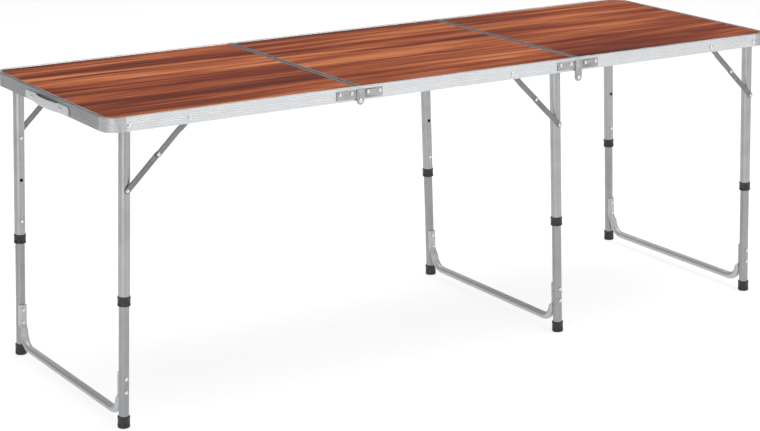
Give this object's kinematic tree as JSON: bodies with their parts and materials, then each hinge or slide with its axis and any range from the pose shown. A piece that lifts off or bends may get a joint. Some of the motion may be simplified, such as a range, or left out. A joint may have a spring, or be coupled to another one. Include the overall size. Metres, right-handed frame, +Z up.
{
  "type": "folding table",
  "caption": "Folding camping table with woodgrain panels in ribbed aluminium rails, telescopic fold-away leg frames, braces, leaf hinges and an end handle.",
  "frame": {"origin": "on the floor, under the middle of the outline, with the table standing open", "axes": "+Z up; +X along the length, away from the end with the handle; +Y towards the back"},
  "size_m": [1.814, 0.6122, 0.675],
  "materials": {
    "board_laminate": "satin woodgrain laminate",
    "rail_aluminium": "satin anodised extrusion",
    "corner_metal": "brushed ribbed",
    "tube_aluminium": "satin anodised tube",
    "zinc_steel": "zinc plated",
    "rivet_metal": "bright",
    "black_plastic": "matte",
    "handle_plastic": "satin grey",
    "spring_steel": "bright"
  },
  "bodies": {
    "centre_panel": {"centre_board": "board_laminate", "centre_side_rails": "rail_aluminium", "centre_seam_rails": "rail_aluminium", "centre_rivets": "rivet_metal", "left_hinge_tongue_plates": "zinc_steel", "left_hinge_pins": "rivet_metal", "right_hinge_arm_plates": "zinc_steel"},
    "left_panel": {"left_board": "board_laminate", "left_side_rails": "rail_aluminium", "left_end_rail": "rail_aluminium", "left_corners": "corner_metal", "left_seam_rails": "rail_aluminium", "left_rivets": "rivet_metal", "handle": "handle_plastic", "handle_rivets": "rivet_metal", "left_hinge_arm_plates": "zinc_steel"},
    "right_panel": {"right_board": "board_laminate", "right_side_rails": "rail_aluminium", "right_end_rail": "rail_aluminium", "right_corners": "corner_metal", "right_seam_rails": "rail_aluminium", "right_rivets": "rivet_metal", "right_hinge_tongue_plates": "zinc_steel", "right_hinge_pins": "rivet_metal"},
    "left_leg_upper": {"left_leg_upper_tubes": "tube_aluminium", "left_leg_collars": "black_plastic"},
    "left_leg_lower": {"left_leg_lower_tubes": "tube_aluminium", "left_leg_feet": "black_plastic", "left_leg_crossbar": "tube_aluminium", "left_leg_bar_rivets": "rivet_metal"},
    "left_brace_upper": {"left_brace_upper_links": "zinc_steel", "left_brace_upper_rivets": "rivet_metal"},
    "left_brace_lower": {"left_brace_lower_links": "zinc_steel", "left_brace_lower_rivets": "rivet_metal"},
    "left_leg_front_clip": {"left_leg_front_clip": "spring_steel"},
    "left_leg_back_clip": {"left_leg_back_clip": "spring_steel"},
    "middle_leg_upper": {"middle_leg_upper_tubes": "tube_aluminium", "middle_leg_collars": "black_plastic"},
    "middle_leg_lower": {"middle_leg_lower_tubes": "tube_aluminium", "middle_leg_feet": "black_plastic", "middle_leg_crossbar": "tube_aluminium", "middle_leg_bar_rivets": "rivet_metal"},
    "middle_brace_upper": {"middle_brace_upper_links": "zinc_steel", "middle_brace_upper_rivets": "rivet_metal"},
    "middle_brace_lower": {"middle_brace_lower_links": "zinc_steel", "middle_brace_lower_rivets": "rivet_metal"},
    "middle_leg_front_clip": {"middle_leg_front_clip": "spring_steel"},
    "middle_leg_back_clip": {"middle_leg_back_clip": "spring_steel"},
    "right_leg_upper": {"right_leg_upper_tubes": "tube_aluminium", "right_leg_collars": "black_plastic"},
    "right_leg_lower": {"right_leg_lower_tubes": "tube_aluminium", "right_leg_feet": "black_plastic", "right_leg_crossbar": "tube_aluminium", "right_leg_bar_rivets": "rivet_metal"},
    "right_brace_upper": {"right_brace_upper_links": "zinc_steel", "right_brace_upper_rivets": "rivet_metal"},
    "right_brace_lower": {"right_brace_lower_links": "zinc_steel", "right_brace_lower_rivets": "rivet_metal"},
    "right_leg_front_clip": {"right_leg_front_clip": "spring_steel"},
    "right_leg_back_clip": {"right_leg_back_clip": "spring_steel"}
  },
  "joints": [
    {"name": "left_leaf_hinge", "type": "hinge", "parent": "centre_panel", "child": "left_panel", "pos_m": [-0.293, 0, 0.6445], "axis": [0, -1, 0], "range_deg": [0, 75]},
    {"name": "right_leaf_hinge", "type": "hinge", "parent": "centre_panel", "child": "right_panel", "pos_m": [0.307, 0, 0.62925], "axis": [0, 1, 0], "range_deg": [0, 50]},
    {"name": "left_leg_fold", "type": "hinge", "parent": "left_panel", "child": "left_leg_upper", "pos_m": [-0.844, 0, 0.656], "axis": [0, -1, 0], "range_deg": [0, 92.2]},
    {"name": "left_leg_telescope", "type": "slide", "parent": "left_leg_upper", "child": "left_leg_lower", "axis": [0.0384, 0, 0.9993], "range_m": [0, 0.145]},
    {"name": "left_brace_upper_turn", "type": "hinge", "parent": "left_panel", "child": "left_brace_upper", "pos_m": [-0.706, 0, 0.656], "axis": [0, -1, 0], "range_deg": [-43.9, 0]},
    {"name": "left_brace_lower_turn", "type": "hinge", "parent": "left_leg_upper", "child": "left_brace_lower", "pos_m": [-0.8493, 0, 0.5181], "axis": [0, -1, 0], "range_deg": [0, 43.9]},
    {"name": "left_front_button_press", "type": "slide", "parent": "left_leg_lower", "child": "left_leg_front_clip", "axis": [0, -1, 0], "range_m": [0, 0.004], "stiffness_N_per_m": 600, "deforming": ["left_leg_front_clip"]},
    {"name": "left_back_button_press", "type": "slide", "parent": "left_leg_lower", "child": "left_leg_back_clip", "axis": [0, 1, 0], "range_m": [0, 0.004], "stiffness_N_per_m": 600, "deforming": ["left_leg_back_clip"]},
    {"name": "middle_leg_fold", "type": "hinge", "parent": "centre_panel", "child": "middle_leg_upper", "pos_m": [0.258, 0, 0.656], "axis": [0, 1, 0], "range_deg": [0, 92.2]},
    {"name": "middle_leg_telescope", "type": "slide", "parent": "middle_leg_upper", "child": "middle_leg_lower", "axis": [-0.0384, 0, 0.9993], "range_m": [0, 0.145]},
    {"name": "middle_brace_upper_turn", "type": "hinge", "parent": "centre_panel", "child": "middle_brace_upper", "pos_m": [0.12, 0, 0.656], "axis": [0, 1, 0], "range_deg": [-43.9, 0]},
    {"name": "middle_brace_lower_turn", "type": "hinge", "parent": "middle_leg_upper", "child": "middle_brace_lower", "pos_m": [0.2633, 0, 0.5181], "axis": [0, 1, 0], "range_deg": [0, 43.9]},
    {"name": "middle_front_button_press", "type": "slide", "parent": "middle_leg_lower", "child": "middle_leg_front_clip", "axis": [0, -1, 0], "range_m": [0, 0.004], "stiffness_N_per_m": 600, "deforming": ["middle_leg_front_clip"]},
    {"name": "middle_back_button_press", "type": "slide", "parent": "middle_leg_lower", "child": "middle_leg_back_clip", "axis": [0, 1, 0], "range_m": [0, 0.004], "stiffness_N_per_m": 600, "deforming": ["middle_leg_back_clip"]},
    {"name": "right_leg_fold", "type": "hinge", "parent": "right_panel", "child": "right_leg_upper", "pos_m": [0.858, 0, 0.656], "axis": [0, 1, 0], "range_deg": [0, 92.2]},
    {"name": "right_leg_telescope", "type": "slide", "parent": "right_leg_upper", "child": "right_leg_lower", "axis": [-0.0384, 0, 0.9993], "range_m": [0, 0.145]},
    {"name": "right_brace_upper_turn", "type": "hinge", "parent": "right_panel", "child": "right_brace_upper", "pos_m": [0.72, 0, 0.656], "axis": [0, 1, 0], "range_deg": [-43.9, 0]},
    {"name": "right_brace_lower_turn", "type": "hinge", "parent": "right_leg_upper", "child": "right_brace_lower", "pos_m": [0.8633, 0, 0.5181], "axis": [0, 1, 0], "range_deg": [0, 43.9]},
    {"name": "right_front_button_press", "type": "slide", "parent": "right_leg_lower", "child": "right_leg_front_clip", "axis": [0, -1, 0], "range_m": [0, 0.004], "stiffness_N_per_m": 600, "deforming": ["right_leg_front_clip"]},
    {"name": "right_back_button_press", "type": "slide", "parent": "right_leg_lower", "child": "right_leg_back_clip", "axis": [0, 1, 0], "range_m": [0, 0.004], "stiffness_N_per_m": 600, "deforming": ["right_leg_back_clip"]}
  ],
  "couplings": [
    {"joint": "left_leg_telescope", "follows": "left_leg_fold", "m_per_rad": 0.09011},
    {"joint": "left_brace_upper_turn", "follows": "left_leg_fold", "ratio": -0.47614},
    {"joint": "left_brace_lower_turn", "follows": "left_leg_fold", "ratio": 0.47614},
    {"joint": "middle_leg_telescope", "follows": "middle_leg_fold", "m_per_rad": 0.09011},
    {"joint": "middle_brace_upper_turn", "follows": "middle_leg_fold", "ratio": -0.47614},
    {"joint": "middle_brace_lower_turn", "follows": "middle_leg_fold", "ratio": 0.47614},
    {"joint": "right_leg_telescope", "follows": "right_leg_fold", "m_per_rad": 0.09011},
    {"joint": "right_brace_upper_turn", "follows": "right_leg_fold", "ratio": -0.47614},
    {"joint": "right_brace_lower_turn", "follows": "right_leg_fold", "ratio": 0.47614}
  ]
}
